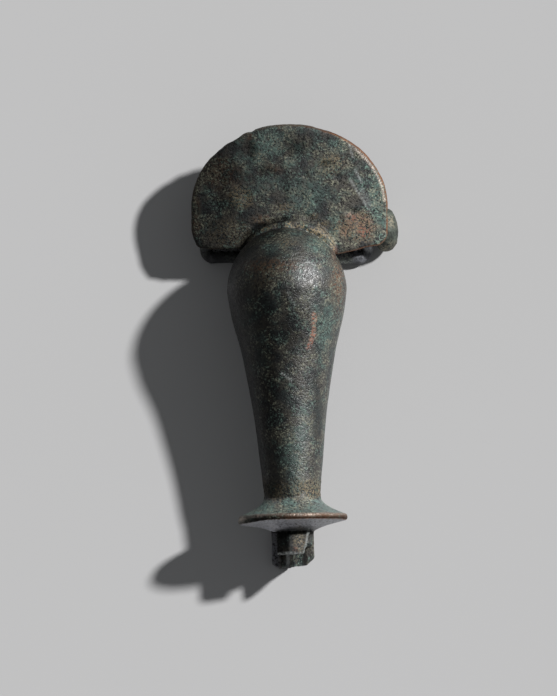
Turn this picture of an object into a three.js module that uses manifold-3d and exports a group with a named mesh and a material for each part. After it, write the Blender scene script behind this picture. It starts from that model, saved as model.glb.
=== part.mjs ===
// A Roman knee brooch of cast bronze, lying on its back as it does when it is set down.
// Millimetres. X runs across the brooch, Y towards the head plate and Z up.
// The brooch is worked out with Y = 0 at the lower edge of the head plate and Z = 0 at the
// plate's underside there, and is then turned and moved until it rests on Z = 0.
import * as THREE from "three";
import { mergeVertices } from "three/addons/utils/BufferGeometryUtils.js";
import Module from "manifold-3d";

const wasm = await Module();
wasm.setup();

// Head plate: half an ellipse on a straight-sided band.
const plateWidth = 17.6;
const plateArch = 7.36;
const plateBand = 3.86;
const plateThickness = 1.0;
const plateCornerRadius = 1.25;
const plateBevel = 0.22;
const plateRiseAngle = THREE.MathUtils.degToRad(6);
// The lower edge is uneven: it hangs down beside the bow and climbs to the right corner.
const plateDropHeight = 0.43;
const plateDropReach = 4.35;
const plateRightClimb = 0.3;

// Ridge of metal around the bow where it stands on the plate.
const collarHalfWidth = 3.9;
const collarReach = 2.65;
const collarHeight = 2.0;
const collarOffset = 0.15;

// Bow: a round swelling, the knee, that thins to a neck in front of the disc.
const kneeRadius = 5.35;
const kneeDomeLength = 5.66;
const kneeToNeck = 17.86;
const neckRadius = 2.47;
const kneeFromPlate = 3.9;
const kneeHeight = 2.96;
const kneeOffset = -0.23;
const bowRiseAngle = THREE.MathUtils.degToRad(3.6);
const bowLeanAngle = THREE.MathUtils.degToRad(1.5);
const bowBackDepth = 2.65;
// Swell of the bow between the knee and the neck: share of the way, share of the difference.
const bowSwell = [
  [0, 1],
  [0.13, 0.87],
  [0.32, 0.58],
  [0.62, 0.27],
  [0.86, 0.11],
  [1, 0],
];

// Disc between the neck and the foot.
const discRadius = 4.87;
const discRimThickness = 0.45;
const discFlareLength = 1.55;
const discBackLength = 0.85;
const neckLength = 0.75;
const discBossRadius = 2.0;
// Share of the way out that the flare has reached half way along it.
const flareHollow = 0.1;
const backHollow = 0.25;

// Foot: a stem behind the disc, with a roof-shaped tongue on top.
const stemLength = 1.9;
const stemHalfWidth = 1.35;
const stemOffset = 0.3;
const stemTop = 1.15;
const stemBottom = 1.9;
const tongueLength = 2.6;
const tongueWidth = 2.9;
const tongueEndWidth = 2.35;
const tongueThickness = 0.55;
const tongueRidgeRise = 0.5;
const tongueRidgeOffset = -0.36;

// Catch: a sheet that hangs from the stem, slants across and curls up into a lip.
const catchThickness = 0.8;
const catchDrop = 6.0;
const catchLength = 3.65;
const catchTopReach = 1.4;
const catchTopDrop = 0.2;
const catchLipReach = 1.05;
const catchCurlRadius = 0.5;
const catchLipHeight = 0.5;
const catchBendDrop = 1.1;
const catchChip = 0.75;

// Spring and its axis bar, under the plate.
const axisFromEdge = 1.7;
const axisDepth = 2.15;
const rodRadius = 0.5;
const rodOverhang = 0.35;
const knobRadius = 1.93;
const knobLength = 1.9;
// Rounding of the knob: share of its length, share of its radius.
const knobShares = [
  [0, 0.8],
  [0.2, 1],
  [0.5, 1],
  [0.78, 0.87],
  [0.96, 0.5],
  [1, 0],
];
const wireDiameter = 1.1;
const turnGap = 0.08;
const fullTurns = 4;
const lastTurn = 0.75;
const chordGap = 0.1;
const chordDropAngle = THREE.MathUtils.degToRad(17);
// Loop from the last turn to the chord: turns inwards, share of the way from the coil to the
// chord, and wire widths below the chord.
const loopShares = [
  [0, 0.22, 0.1],
  [0.1, 0.75, 0.3],
  [0.6, 1.09, 0.1],
  [1.4, 1, 0],
];
const pinStub = 1.1;
const endStub = 0.5;
const stubRiseAngle = THREE.MathUtils.degToRad(9);
const clearance = 0.32;

// Lug that holds the axis bar.
const lugWidth = 1.7;
const lugWall = 0.63;

// Flats worn where the brooch lies on its back.
const restFlat = 0.1;

// Fineness of the curved surfaces.
const bowSides = 48;
const domeSteps = 8;
const swellSteps = 15;
const flareSteps = 5;
const plateArcSteps = 40;
const cornerSteps = 4;
const wireSides = 8;
const stepsPerTurn = 12;
const rodSides = 20;
const arcSteps = 6;
const collarSides = 32;
const collarRings = 12;

// Worked out from the sizes above.
const bowFrame = new THREE.Matrix4()
  .makeTranslation(kneeOffset, -kneeFromPlate, kneeHeight)
  .multiply(new THREE.Matrix4().makeRotationZ(bowLeanAngle))
  .multiply(new THREE.Matrix4().makeRotationX(-bowRiseAngle));
const plateFrame = new THREE.Matrix4().makeRotationX(plateRiseAngle);
const flareStart = kneeToNeck + neckLength;
const rimStart = flareStart + discFlareLength;
const rimEnd = rimStart + discRimThickness;
const discEnd = rimEnd + discBackLength;
const footStart = discEnd - discBackLength / 2;
const footEnd = footStart + catchLength;
const coilRadius = rodRadius + clearance + wireDiameter / 2;
const coilOuterRadius = coilRadius + wireDiameter / 2;
const turnPitch = wireDiameter + turnGap;
const coilTurns = fullTurns + lastTurn;
const coilInnerEnd = lugWidth / 2 + clearance + wireDiameter / 2;
const coilOuterEnd = coilInnerEnd + coilTurns * turnPitch;
const springHalfWidth = coilOuterEnd + wireDiameter / 2;

// A closed three.js geometry as a solid, with its faces turned outwards.
function solidOf(geometry, frame = new THREE.Matrix4()) {
  const bare = geometry.clone();
  bare.deleteAttribute("normal");
  bare.deleteAttribute("uv");
  const welded = mergeVertices(bare.applyMatrix4(frame));
  const position = welded.getAttribute("position");
  const corners = [];
  const a = new THREE.Vector3();
  const b = new THREE.Vector3();
  const c = new THREE.Vector3();
  let volume = 0;
  for (let i = 0; i < welded.index.count; i += 3) {
    const [p, q, r] = [0, 1, 2].map((k) => welded.index.getX(i + k));
    if (p === q || q === r || r === p) continue;
    corners.push([p, q, r]);
    a.fromBufferAttribute(position, p);
    b.fromBufferAttribute(position, q);
    c.fromBufferAttribute(position, r);
    volume += a.dot(b.cross(c));
  }
  const outward = volume > 0 ? corners : corners.map(([p, q, r]) => [p, r, q]);
  return new wasm.Manifold(
    new wasm.Mesh({
      numProp: 3,
      vertProperties: new Float32Array(position.array),
      triVerts: new Uint32Array(outward.flat()),
    }),
  );
}

function namedMesh(name, solid, material) {
  const { vertProperties, triVerts } = solid.getMesh();
  const geometry = new THREE.BufferGeometry();
  geometry.setAttribute("position", new THREE.BufferAttribute(vertProperties, 3));
  geometry.setIndex(new THREE.BufferAttribute(triVerts, 1));
  geometry.computeVertexNormals();
  const mesh = new THREE.Mesh(geometry, material);
  mesh.name = name;
  return mesh;
}

// Points along an arc of an ellipse, both ends included.
function arcPoints(centreX, centreY, radiusX, radiusY, from, to, steps) {
  return Array.from({ length: steps + 1 }, (_, i) => {
    const angle = from + ((to - from) * i) / steps;
    return new THREE.Vector2(
      centreX + radiusX * Math.cos(angle),
      centreY + radiusY * Math.sin(angle),
    );
  });
}

// Everything below a level of the given frame, as a block to cut away.
function blockBelow(frame, level, fromY, toY) {
  const size = 4 * (plateWidth + kneeToNeck);
  const block = new THREE.BoxGeometry(size, toY - fromY, size);
  block.translate(0, (fromY + toY) / 2, level - size / 2);
  return solidOf(block, frame);
}

function headPlate() {
  const half = plateWidth / 2;
  const corner = plateCornerRadius;
  const outline = [
    ...arcPoints(0, plateBand, half, plateArch, 0, Math.PI, plateArcSteps),
    ...arcPoints(-half + corner, corner, corner, corner, Math.PI, 1.5 * Math.PI, cornerSteps),
    new THREE.Vector2(0, 0),
    new THREE.Vector2(plateDropReach, -plateDropHeight),
    ...arcPoints(
      half - corner, plateRightClimb + corner, corner, corner, 1.5 * Math.PI, 2 * Math.PI, cornerSteps,
    ),
  ];
  const plate = new THREE.ExtrudeGeometry(new THREE.Shape(outline), {
    depth: plateThickness - 2 * plateBevel,
    bevelThickness: plateBevel,
    bevelSize: plateBevel,
    bevelOffset: -plateBevel,
    bevelSegments: 2,
  });
  plate.translate(0, 0, plateBevel);
  return solidOf(plate, plateFrame);
}

// Low mound that fills the corner between the bow's domed end and the plate.
function collar() {
  const mound = new THREE.SphereGeometry(1, collarSides, collarRings);
  mound.scale(collarHalfWidth, collarReach, collarHeight);
  mound.translate(collarOffset, 0, plateThickness / 2);
  const reach = 2 * (collarReach + collarHalfWidth);
  return solidOf(mound, plateFrame).subtract(
    blockBelow(plateFrame, plateThickness / 2, -reach, reach),
  );
}

// The bow, the neck and the disc are one turned form; the bow's back is cut flat.
function bowAndDisc() {
  const dome = Array.from({ length: domeSteps }, (_, i) => {
    const angle = (i / domeSteps) * (Math.PI / 2);
    return [kneeRadius * Math.sin(angle), -kneeDomeLength * Math.cos(angle)];
  });
  const swell = new THREE.SplineCurve(
    bowSwell.map(
      ([way, share]) =>
        new THREE.Vector2(neckRadius + share * (kneeRadius - neckRadius), way * kneeToNeck),
    ),
  ).getPoints(swellSteps);
  const flare = new THREE.QuadraticBezierCurve(
    new THREE.Vector2(neckRadius, flareStart),
    new THREE.Vector2(neckRadius + flareHollow * (discRadius - neckRadius), (flareStart + rimStart) / 2),
    new THREE.Vector2(discRadius, rimStart),
  ).getPoints(flareSteps);
  const back = new THREE.QuadraticBezierCurve(
    new THREE.Vector2(discRadius, rimEnd),
    new THREE.Vector2(
      discBossRadius + backHollow * (discRadius - discBossRadius), (rimEnd + discEnd) / 2,
    ),
    new THREE.Vector2(discBossRadius, discEnd),
  ).getPoints(flareSteps);
  const outline = [
    ...dome.map(([radius, along]) => new THREE.Vector2(radius, -along)),
    ...[...swell, ...flare, ...back].map((point) => new THREE.Vector2(point.x, -point.y)),
    new THREE.Vector2(0, -discEnd),
  ];
  const turned = solidOf(new THREE.LatheGeometry(outline, bowSides), bowFrame);
  return turned.subtract(
    blockBelow(bowFrame, -bowBackDepth, -(kneeToNeck + neckLength / 2), 2 * kneeDomeLength),
  );
}

// A section drawn across the bow, pushed along it from one distance to another.
function alongBow(shape, from, to) {
  const solid = new THREE.ExtrudeGeometry(shape, { depth: to - from, bevelEnabled: false });
  const frame = bowFrame
    .clone()
    .multiply(new THREE.Matrix4().makeTranslation(0, -from, 0))
    .multiply(new THREE.Matrix4().makeRotationX(Math.PI / 2));
  return { solid, frame };
}

function footStem() {
  const shape = new THREE.Shape([
    new THREE.Vector2(stemOffset - stemHalfWidth, -stemBottom / 2),
    new THREE.Vector2(stemOffset + stemHalfWidth / 2, -stemBottom),
    new THREE.Vector2(stemOffset + stemHalfWidth, -stemBottom),
    new THREE.Vector2(stemOffset + stemHalfWidth, stemTop),
    new THREE.Vector2(stemOffset - stemHalfWidth, stemTop),
  ]);
  const { solid, frame } = alongBow(shape, footStart, footStart + stemLength);
  return solidOf(solid, frame);
}

function tongue() {
  const half = tongueWidth / 2;
  const eaves = stemTop - tongueThickness / 2;
  const shape = new THREE.Shape([
    new THREE.Vector2(-half, eaves),
    new THREE.Vector2(half, eaves),
    new THREE.Vector2(half, eaves + tongueThickness / 2),
    new THREE.Vector2(tongueRidgeOffset, eaves + tongueThickness + tongueRidgeRise / 2),
    new THREE.Vector2(-half, eaves + tongueThickness / 2),
  ]);
  const { solid, frame } = alongBow(shape, footStart, footStart + tongueLength);
  const position = solid.getAttribute("position");
  for (let i = 0; i < position.count; i += 1) {
    const way = position.getZ(i) / tongueLength;
    const narrowing = 1 + (tongueEndWidth / tongueWidth - 1) * way;
    position.setX(i, -half + (position.getX(i) + half) * narrowing);
  }
  return solidOf(solid, frame);
}

// Middle line of the catch, seen along the bow: down from the stem, across, and up into the lip.
// The slanting stretch runs from the bend and touches the curl's circle.
function catchLine() {
  const bend = new THREE.Vector2(catchTopReach, -catchBendDrop);
  const centre = new THREE.Vector2(
    -catchLipReach,
    -(catchDrop - catchThickness / 2 - catchCurlRadius),
  );
  const toBend = bend.clone().sub(centre);
  const touch = Math.atan2(toBend.y, toBend.x) - Math.acos(catchCurlRadius / toBend.length());
  const curl = arcPoints(
    centre.x, centre.y, catchCurlRadius, catchCurlRadius, touch, -Math.PI, arcSteps,
  );
  return [
    new THREE.Vector2(catchTopReach, -catchTopDrop),
    bend,
    ...curl,
    new THREE.Vector2(curl[arcSteps].x, curl[arcSteps].y + catchLipHeight),
  ];
}

function footCatch() {
  const line = catchLine();
  const sides = line.map((point, i) => {
    const before = line[Math.max(i - 1, 0)];
    const after = line[Math.min(i + 1, line.length - 1)];
    const along = after.clone().sub(before).normalize();
    return new THREE.Vector2(-along.y, along.x).multiplyScalar(catchThickness / 2);
  });
  const shape = new THREE.Shape([
    ...line.map((point, i) => point.clone().add(sides[i])),
    ...line.map((point, i) => point.clone().sub(sides[i])).reverse(),
  ]);
  const { solid, frame } = alongBow(shape, footStart, footEnd);
  const chip = new THREE.BoxGeometry(2 * catchChip, 4 * catchChip, 4 * catchDrop);
  chip.translate(catchChip, 0, 0);
  chip.rotateZ(-Math.PI / 4);
  chip.translate(catchTopReach + catchThickness / 2 - catchChip / 2, -footEnd + catchChip / 2, 0);
  return solidOf(solid, frame).subtract(solidOf(chip, bowFrame));
}

// Pierced lug under the plate, round about the axis bar.
function lug() {
  const holeRadius = rodRadius + clearance;
  const radius = holeRadius + lugWall;
  const top = axisDepth + plateThickness / 2;
  const shape = new THREE.Shape([
    new THREE.Vector2(radius, top),
    new THREE.Vector2(-radius, top),
    ...arcPoints(0, 0, radius, radius, Math.PI, 2 * Math.PI, 2 * arcSteps),
  ]);
  shape.holes.push(
    new THREE.Path(arcPoints(0, 0, holeRadius, holeRadius, 2 * Math.PI, 0, rodSides)),
  );
  const solid = new THREE.ExtrudeGeometry(shape, { depth: lugWidth, bevelEnabled: false });
  solid.translate(0, 0, -lugWidth / 2);
  const frame = new THREE.Matrix4()
    .makeBasis(new THREE.Vector3(0, 1, 0), new THREE.Vector3(0, 0, 1), new THREE.Vector3(1, 0, 0))
    .setPosition(kneeOffset, axisFromEdge, -axisDepth);
  return solidOf(solid, frame);
}

// Route of the spring's wire on one side: stub, coil, and the loop that leads to the chord.
// side is -1 or 1, and stub is the length of the straight end beside the lug.
function halfWire(side, stub) {
  const points = [
    new THREE.Vector3(
      side * coilInnerEnd,
      -stub * Math.cos(stubRiseAngle),
      -coilRadius + stub * Math.sin(stubRiseAngle),
    ),
  ];
  const steps = Math.round(coilTurns * stepsPerTurn);
  for (let i = 0; i <= steps; i += 1) {
    const turns = (coilTurns * i) / steps;
    const angle = 2 * Math.PI * turns - Math.PI / 2;
    points.push(
      new THREE.Vector3(
        side * (coilInnerEnd + turns * turnPitch),
        coilRadius * Math.cos(angle),
        coilRadius * Math.sin(angle),
      ),
    );
  }
  const chordRadius = coilOuterRadius + chordGap + wireDiameter / 2;
  const chordY = -chordRadius * Math.cos(chordDropAngle);
  const chordZ = -chordRadius * Math.sin(chordDropAngle);
  const swing = chordY + coilRadius;
  for (const [inwards, way, below] of loopShares) {
    points.push(
      new THREE.Vector3(
        side * (coilOuterEnd - inwards * turnPitch),
        -coilRadius + way * swing,
        chordZ - below * wireDiameter,
      ),
    );
  }
  return points;
}

function spring() {
  const route = new THREE.CatmullRomCurve3([
    ...halfWire(-1, pinStub),
    ...halfWire(1, endStub).reverse(),
  ]);
  const section = new THREE.Shape(
    arcPoints(0, 0, wireDiameter / 2, wireDiameter / 2, 0, 2 * Math.PI, wireSides).slice(0, -1),
  );
  const stepLength = (2 * Math.PI * coilRadius) / stepsPerTurn;
  const wire = new THREE.ExtrudeGeometry(section, {
    steps: Math.round(route.getLength() / stepLength),
    extrudePath: route,
  });
  wire.translate(kneeOffset, axisFromEdge, -axisDepth);
  return solidOf(wire);
}

// The rod ends plain on the left and in a rounded knob on the right.
function axisBar() {
  const knobStart = springHalfWidth + clearance;
  const outline = [
    new THREE.Vector2(0, -springHalfWidth - rodOverhang),
    new THREE.Vector2(rodRadius, -springHalfWidth - rodOverhang),
    new THREE.Vector2(rodRadius, knobStart),
    ...knobShares.map(
      ([way, share]) => new THREE.Vector2(share * knobRadius, knobStart + way * knobLength),
    ),
  ];
  const bar = new THREE.LatheGeometry(outline, rodSides);
  bar.rotateZ(-Math.PI / 2);
  bar.translate(kneeOffset, axisFromEdge, -axisDepth);
  return solidOf(bar);
}

// The brooch lies on the coils and on the end of the catch. This is the turn about X that
// brings the line under both of them level.
function restingTurn() {
  const heel = new THREE.Vector3(0, -footEnd, -catchDrop).applyMatrix4(bowFrame);
  const along = axisFromEdge - heel.y;
  const rise = heel.z + axisDepth;
  return Math.asin(coilOuterRadius / Math.hypot(along, rise)) + Math.atan2(rise, along);
}

const turn = restingTurn();
const restFrame = new THREE.Matrix4().makeRotationX(-turn);
const axisCentre = new THREE.Vector3(0, axisFromEdge, -axisDepth).applyMatrix4(
  restFrame.clone().invert(),
);
const tableLevel = axisCentre.z - coilOuterRadius + restFlat;
const reach = 2 * (plateWidth + kneeToNeck);
const table = blockBelow(restFrame, tableLevel, -reach, reach);

const bodyBronze = new THREE.MeshStandardMaterial({ color: 0x39423a, roughness: 0.6, metalness: 0.5 });
const springBronze = new THREE.MeshStandardMaterial({ color: 0x3f453f, roughness: 0.7, metalness: 0.4 });
const rodBronze = new THREE.MeshStandardMaterial({ color: 0x51584c, roughness: 0.7, metalness: 0.4 });

const casting = [headPlate(), collar(), bowAndDisc(), footStem(), tongue(), footCatch(), lug()].reduce(
  (whole, piece) => whole.add(piece),
);

const brooch = new THREE.Group();
brooch.add(
  namedMesh("brooch_body", casting.subtract(table), bodyBronze),
  namedMesh("spring", spring().subtract(table), springBronze),
  namedMesh("axis_bar", axisBar().subtract(table), rodBronze),
);
brooch.rotation.x = turn;

// The origin is the middle of the box around the resting brooch, on the table.
const laid = new THREE.Group();
laid.add(brooch);
const box = new THREE.Box3().setFromObject(laid, true);
brooch.position.set(
  -(box.min.x + box.max.x) / 2,
  -(box.min.y + box.max.y) / 2,
  -box.min.z,
);

export default laid;
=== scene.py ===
import math
from types import SimpleNamespace

import bpy
import numpy as np
from mathutils import Matrix, Vector


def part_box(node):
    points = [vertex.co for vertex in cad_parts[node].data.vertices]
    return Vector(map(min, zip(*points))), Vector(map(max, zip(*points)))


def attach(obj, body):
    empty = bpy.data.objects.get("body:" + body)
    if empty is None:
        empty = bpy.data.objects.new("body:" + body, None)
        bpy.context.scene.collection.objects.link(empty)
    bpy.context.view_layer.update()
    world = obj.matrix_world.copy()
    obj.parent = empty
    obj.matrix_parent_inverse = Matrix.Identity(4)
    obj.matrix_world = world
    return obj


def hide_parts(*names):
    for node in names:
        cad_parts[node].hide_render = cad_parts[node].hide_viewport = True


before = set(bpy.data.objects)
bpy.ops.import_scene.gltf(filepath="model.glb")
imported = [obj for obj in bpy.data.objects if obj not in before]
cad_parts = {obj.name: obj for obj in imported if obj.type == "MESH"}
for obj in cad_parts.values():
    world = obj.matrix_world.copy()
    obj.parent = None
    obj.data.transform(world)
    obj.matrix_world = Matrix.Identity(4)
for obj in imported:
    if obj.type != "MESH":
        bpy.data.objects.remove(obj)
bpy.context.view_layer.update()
scene = bpy.context.scene

# Sizes are in millimetres, in the frame in which the brooch is worked out: Y = 0 at the head
# plate's lower edge, Z = 0 at its underside there. They are the sizes of the solids, but for the
# ring around the dome's foot, which is only in this skin, and the knob's finer rounding.
MM = 0.001
PLATE_WIDTH = 17.6
PLATE_ARCH = 7.36
PLATE_BAND = 3.86
PLATE_THICKNESS = 1.0
PLATE_CORNER = 1.25
PLATE_BEVEL = 0.26
PLATE_RISE = math.radians(6)
PLATE_DROP = 0.43
PLATE_DROP_REACH = 4.35
PLATE_RIGHT_CLIMB = 0.3
COLLAR_SIZE = (3.9, 2.65, 1.6)
COLLAR_RING = (3.5, 2.2, 0.46)
COLLAR_OFFSET = 0.15
# Height of the ring's middle above the plate, in its own radii.
RING_RISE = 0.9
KNEE_RADIUS = 5.35
KNEE_DOME = 5.66
KNEE_TO_NECK = 17.86
KNEE_FROM_PLATE = 3.9
KNEE_HEIGHT = 2.96
KNEE_OFFSET = -0.23
NECK_RADIUS = 2.47
NECK_LENGTH = 0.75
BOW_RISE = math.radians(3.6)
BOW_LEAN = math.radians(1.5)
BOW_BACK = 2.65
BOW_SWELL = [(0, 1), (0.13, 0.87), (0.32, 0.58), (0.62, 0.27), (0.86, 0.11), (1, 0)]
DISC_RADIUS = 4.87
DISC_RIM = 0.45
DISC_FLARE = 1.55
DISC_BACK = 0.85
DISC_BOSS = 2.0
# Where the hollow flare and back bend in: share of the way out from their smaller radius.
FLARE_BEND = 0.1
BACK_BEND = 0.25
# Rounding of the disc's rim, across and along.
RIM_ROUND = (0.06, 0.07)
STEM_LENGTH = 1.9
STEM_HALF_WIDTH = 1.35
STEM_OFFSET = 0.3
STEM_TOP = 1.15
STEM_BOTTOM = 1.9
TONGUE_LENGTH = 2.6
TONGUE_WIDTH = 2.9
TONGUE_END_WIDTH = 2.35
TONGUE_THICKNESS = 0.55
TONGUE_RIDGE_RISE = 0.5
TONGUE_RIDGE_OFFSET = -0.36
CATCH_THICKNESS = 0.8
CATCH_DROP = 6.0
CATCH_LENGTH = 3.65
CATCH_TOP_REACH = 1.4
CATCH_TOP_DROP = 0.2
CATCH_BEND_DROP = 1.1
CATCH_LIP_REACH = 1.05
CATCH_CURL = 0.5
CATCH_LIP_HEIGHT = 0.5
CATCH_CHIP = 0.75
AXIS_FROM_EDGE = 1.7
AXIS_DEPTH = 2.15
ROD_RADIUS = 0.5
ROD_OVERHANG = 0.35
KNOB_RADIUS = 1.93
KNOB_LENGTH = 1.9
# Rounding of the knob: share of its length, share of its radius.
KNOB_SHARES = [
    (0, 0.78), (0.12, 0.94), (0.3, 1), (0.5, 0.98), (0.7, 0.88), (0.86, 0.66), (0.96, 0.36), (1, 0.02),
]
WIRE_DIAMETER = 1.1
TURN_GAP = 0.08
COIL_TURNS = 4.75
CHORD_GAP = 0.1
CHORD_DROP = math.radians(17)
# Loop from the last turn to the chord: turns inwards, share of the way from the coil to the
# chord, and wire widths below the chord.
LOOP_SHARES = [(0, 0.22, 0.1), (0.1, 0.75, 0.3), (0.6, 1.09, 0.1), (1.4, 1, 0)]
PIN_STUB = 1.1
END_STUB = 0.5
STUB_RISE = math.radians(9)
REST_FLAT = 0.1
CLEARANCE = 0.32
LUG_WIDTH = 1.7
LUG_WALL = 0.63

FLARE_START = KNEE_TO_NECK + NECK_LENGTH
RIM_START = FLARE_START + DISC_FLARE
RIM_END = RIM_START + DISC_RIM
DISC_END = RIM_END + DISC_BACK
FOOT_START = DISC_END - DISC_BACK / 2
FOOT_END = FOOT_START + CATCH_LENGTH
COIL_OUTER = ROD_RADIUS + CLEARANCE + WIRE_DIAMETER
COIL_RADIUS = COIL_OUTER - WIRE_DIAMETER / 2
TURN_PITCH = WIRE_DIAMETER + TURN_GAP
COIL_INNER_END = LUG_WIDTH / 2 + CLEARANCE + WIRE_DIAMETER / 2
COIL_OUTER_END = COIL_INNER_END + COIL_TURNS * TURN_PITCH
SPRING_HALF_WIDTH = COIL_OUTER_END + WIRE_DIAMETER / 2
AXIS_PLACE = (KNEE_OFFSET, AXIS_FROM_EDGE, -AXIS_DEPTH)

# Photograph: pixels to a millimetre, and where Y = 0 and the plate's middle lie in it.
PIXELS_PER_MM = 11.14
PHOTO_WIDTH = 557
PHOTO_HEIGHT = 696
PLATE_MIDDLE_PX = 289.5
PLATE_EDGE_PX = 248.0
CAMERA_DISTANCE = 720.0
SENSOR = 36.0
# Where the hard light comes from in the photo (right, up, towards the eye), and how wide it is.
SUN_DIRECTION = (1.05, 0.65, 1.0)
SUN_WIDTH = math.radians(4.2)
# In metres.
FLOOR_HALF_WIDTH = 1.5

# How fine the skins and the shells under them are.
BODY_VOXEL, BODY_SMOOTHING = 0.127, 4
SPRING_VOXEL, SPRING_SMOOTHING = 0.1, 5
OUTLINE_SPACING = 0.12
WIRE_SPACING = 0.22
BEVEL_STEPS = 6
COIL_STEPS = 114
ROUND_SIDES = 64
# Angle that keeps the first ring of a dome off its pole.
POLE_GAP = 0.02

# Relief in millimetres: how deep it is, and how large its features are.
PLATE_CAMBER = 0.22
EDGE_WAVE, EDGE_WAVE_SIZE = 0.03, 1.6
WAVE, WAVE_SIZE = 0.045, 2.4
GRAIN, GRAIN_SIZE = 0.02, 0.3
CRUST, CRUST_SIZE = 0.06, 0.5
PIT, PIT_SIZE = 0.045, 0.5
LARGE_PIT, LARGE_PIT_SIZE = 0.07, 1.4
# Radius of a pit as a share of its size: the least, and what chance adds.
LEAST_PIT, PIT_SPREAD = 0.25, 0.3
NECK_CRUST, NECK_CRUST_SIZE = 0.09, 0.35
LUMP_SIZE = 1.2
WIRE_GRAIN = 0.025
WIRE_PIT, WIRE_PIT_SIZE = 0.06, 0.6
SWELLING, SWELLING_SIZE = 0.05, 1.4
# What smoothing the voxel skin takes off everywhere.
SMOOTHING_LOSS = 0.03
# How far the disc's left side leans down the photo, and what the catch's lower left corner lacks.
DISC_LEAN = 0.2
CORNER_LOSS = 0.35
# Where the crust at the neck starts and ends along the bow, and where its smooth part ends.
NECK_RELIEF = ((16.4, 17.4), (18.6, 19.1))
NECK_COLOUR = ((16.4, 17.9), (18.3, 19.0))
SMOOTH_BOW_END = (15.5, 17.0)
# Around the dome's foot, as shares of the ring's oval: the ring, the painted shade in the crease inside it
# and the ring's painted shadow outside it, which fades out to the right.
RING_BAND = ((0.82, 0.92), (1.1, 1.22))
RING_SHADOW_BAND = ((1.13, 1.2), (1.28, 1.42))
INNER_CREASE_BAND = ((0.66, 0.74), (0.8, 0.88))
RING_SHADOW_FADE = (1.2, -0.6)
# Limits of masks: fronts of ring and plate, the plate's top, the dome's skin and its reach along
# the bow, the foot's left wall, the start of the disc's back, and a margin.
RING_FRONT, PLATE_FRONT = -0.5, -0.6
PLATE_TOP = 0.8
DOME_SKIN, DOME_REACH = 1.03, 4
LEFT_WALL = (-1.2, -1.6)
BACK_FROM = 0.8
MARGIN = 0.2
# How ragged patches, lines and hollows are, the size of the rags, and where their edges fade.
RAGGED, HOLLOW_RAGGED = 0.5, 0.3
PATCH_GRAIN, STREAK_GRAIN, HOLLOW_GRAIN = 0.8, 0.4, 0.6
STREAK_EDGE = (0.6, 1.3)
HOLLOW_EDGE = (0.4, 1.3)
# A distance far from the plate's edge, and in how many steps distances are found.
FAR = 9.0
BATCHES = 40

# Patches of colour on the side that faces up: place x and y, reach across and along, strength.
TEAL_PATCHES = [
    (-1.9, 9.3, 1.1, 0.9, 0.9), (-2.7, 7.9, 0.4, 0.4, 0.6), (-4.5, 8.1, 0.5, 0.6, 0.7),
    (-4.5, 9.5, 0.4, 0.3, 0.5), (-3.8, 7.1, 0.3, 0.3, 0.6), (-0.1, 7.6, 0.75, 0.55, 0.85),
    (1.6, 4.9, 1.9, 1.7, 0.6), (-2, 5.6, 0.9, 0.8, 0.5), (4.4, 9.2, 1.1, 0.7, 0.45),
    (7.9, 4.5, 0.6, 1.6, 0.6), (4.1, 1.6, 0.35, 0.9, 0.8), (2.5, 0.2, 1.1, 0.9, 0.8),
    (-1.4, 0, 0.9, 0.45, 0.5), (2.3, -5.2, 0.4, 0.4, 0.9), (3.1, -7, 0.9, 2.2, 0.7),
    (-3.4, -6.5, 0.6, 2.6, 0.35), (-2.4, -9.6, 0.5, 2, 0.35), (0.4, -18.6, 1, 2.6, 0.75),
    (1.3, -15.6, 0.5, 2, 0.4),
]
OCHRE_PATCHES = [
    (-4.3, 4.6, 0.95, 1, 0.75), (3.7, 7.6, 1.2, 0.8, 0.65), (-0.4, 3.6, 0.9, 0.5, 0.5),
    (3, 2.1, 0.5, 0.4, 0.8), (2.2, 2.9, 0.5, 0.3, 0.5), (-2.4, 2.5, 0.6, 0.25, 0.6),
    (-5.4, 1.4, 1.8, 1.2, 0.4), (6, 1.9, 1.8, 1.2, 0.6), (-0.3, 0.4, 0.8, 0.4, 0.6),
    (-2.6, -2.6, 1.2, 1, 0.35), (0.9, -26.2, 0.6, 1, 0.6), (-2.3, -20.9, 0.3, 0.3, 0.8),
]
RED_PATCHES = [
    (5.6, 2.7, 0.45, 0.5, 0.6), (6.7, 1.5, 0.5, 0.4, 0.8), (5, 1.4, 0.3, 0.3, 0.45),
    (6.2, 2, 1.6, 1.1, 0.3), (4, -0.4, 0.3, 0.7, 0.4), (0.5, -27, 0.25, 0.25, 0.9),
]
BROWN_PATCHES = [
    (-1.4, -1.7, 2.4, 0.6, 1), (4.25, -3.4, 0.6, 2, 1), (-6.2, 6.6, 1.5, 1.3, 0.5),
    (-1.6, 7.1, 1, 0.5, 0.4), (-3.9, 10.1, 0.6, 0.3, 0.9), (-0.6, 10.8, 0.4, 0.2, 0.8),
    (-2.4, 2.6, 1, 0.4, 0.5), (-8.4, 3, 0.4, 2, 0.5),
]
DARK_PATCHES = [
    (0.9, 9.3, 1.5, 0.9, 0.75), (-1.6, 7, 1.1, 0.5, 0.6), (-6, 6.8, 1.5, 1, 0.5),
    (-0.3, 5.4, 0.4, 1.2, 0.5), (3.1, 7.5, 0.45, 0.35, 0.9), (-3.4, 9, 0.5, 0.8, 0.7),
    (-5.8, 4.4, 0.8, 1.2, 0.5), (2.3, 2.7, 0.4, 0.2, 0.6), (-2.6, -5, 0.9, 2.6, 0.5),
    (-1.9, -12, 0.7, 5.5, 0.6), (2.5, -15, 0.4, 5, 0.5), (0.2, -6.5, 1.6, 2.8, 0.6),
]
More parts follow.
